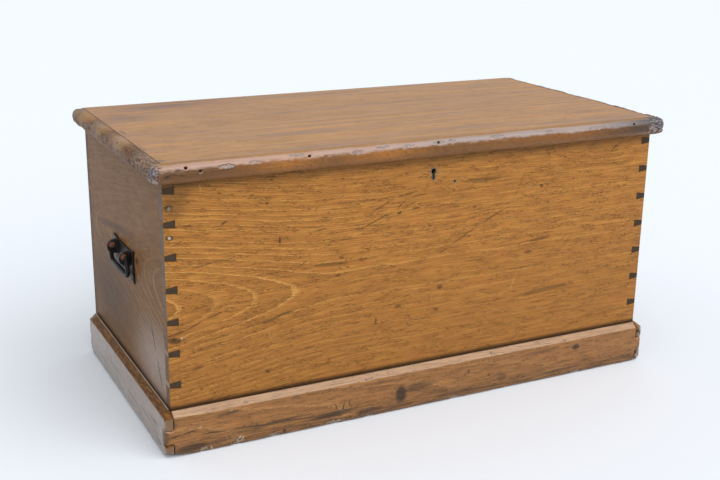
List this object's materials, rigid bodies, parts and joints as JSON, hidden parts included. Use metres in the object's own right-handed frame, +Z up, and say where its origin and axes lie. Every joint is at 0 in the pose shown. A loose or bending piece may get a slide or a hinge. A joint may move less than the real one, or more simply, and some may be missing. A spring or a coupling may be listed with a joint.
{
  "type": "blanket chest",
  "caption": "Dovetailed pine blanket chest with a hinged bullnose lid, bevelled plinth, iron drop handles on the ends and a link lock behind a keyhole in the front.",
  "frame": {"origin": "on the floor under the middle of the overall box, lid nose and hinge knuckles included", "axes": "+Z up, -Y out of the front with the keyhole, +X to the right end as seen from the front"},
  "size_m": [0.9956, 0.521, 0.491],
  "materials": {
    "pine": "waxed, worn",
    "pine_ends": "waxed, dark with age",
    "pine_bare": "sawn, unfinished",
    "iron": "blackened",
    "steel": "dull, oiled",
    "brass": "tarnished"
  },
  "bodies": {
    "case": {"front_panel": "pine", "back_panel": "pine", "plinth_front": "pine", "left_end_panel": "pine_ends", "right_end_panel": "pine_ends", "plinth_left": "pine_ends", "plinth_right": "pine_ends", "bottom_board_1": "pine_bare", "bottom_board_2": "pine_bare", "bottom_board_3": "pine_bare", "hinge_left_lower_leaf": "iron", "handle_left_plate": "iron", "hinge_right_lower_leaf": "iron", "handle_right_plate": "iron", "hinge_left_lower_screw_1": "iron", "hinge_left_lower_screw_2": "iron", "handle_left_screw_1": "iron", "handle_left_screw_2": "iron", "handle_left_screw_3": "iron", "handle_left_screw_4": "iron", "hinge_right_lower_screw_1": "iron", "hinge_right_lower_screw_2": "iron", "handle_right_screw_1": "iron", "handle_right_screw_2": "iron", "handle_right_screw_3": "iron", "handle_right_screw_4": "iron", "lock_screw_1": "iron", "lock_screw_2": "iron", "lock_screw_3": "iron", "lock_screw_4": "iron", "hinge_left_pin": "steel", "hinge_right_pin": "steel", "lock_plate": "steel", "lock_cap": "steel", "lock_bolt_stud": "steel", "lock_key_pin": "steel", "keyhole_liner": "brass"},
    "lid": {"lid_board_front": "pine", "lid_board_rear": "pine", "lid_moulding_front": "pine", "lid_moulding_left": "pine_ends", "lid_moulding_right": "pine_ends", "link_plate": "steel", "hinge_left_upper_leaf": "iron", "hinge_right_upper_leaf": "iron", "hinge_left_upper_screw_1": "iron", "hinge_left_upper_screw_2": "iron", "hinge_right_upper_screw_1": "iron", "hinge_right_upper_screw_2": "iron", "link_plate_screw_1": "iron", "link_plate_screw_2": "iron"},
    "left_bail": {"handle_left_bail": "iron"},
    "right_bail": {"handle_right_bail": "iron"},
    "lock_bolt": {"lock_bolt": "brass"}
  },
  "joints": [
    {"name": "lid_hinge", "type": "hinge", "parent": "case", "child": "lid", "pos_m": [0, 0.25605, 0.4708], "axis": [-1, 0, 0], "range_deg": [0, 105]},
    {"name": "left_handle_swing", "type": "hinge", "parent": "case", "child": "left_bail", "pos_m": [-0.486, -0.00175, 0.281], "axis": [0, 1, 0], "range_deg": [0, 90]},
    {"name": "right_handle_swing", "type": "hinge", "parent": "case", "child": "right_bail", "pos_m": [0.486, -0.00175, 0.281], "axis": [0, -1, 0], "range_deg": [0, 90]},
    {"name": "lock_bolt_slide", "type": "slide", "parent": "case", "child": "lock_bolt", "axis": [1, 0, 0], "range_m": [0, 0.008]}
  ]
}
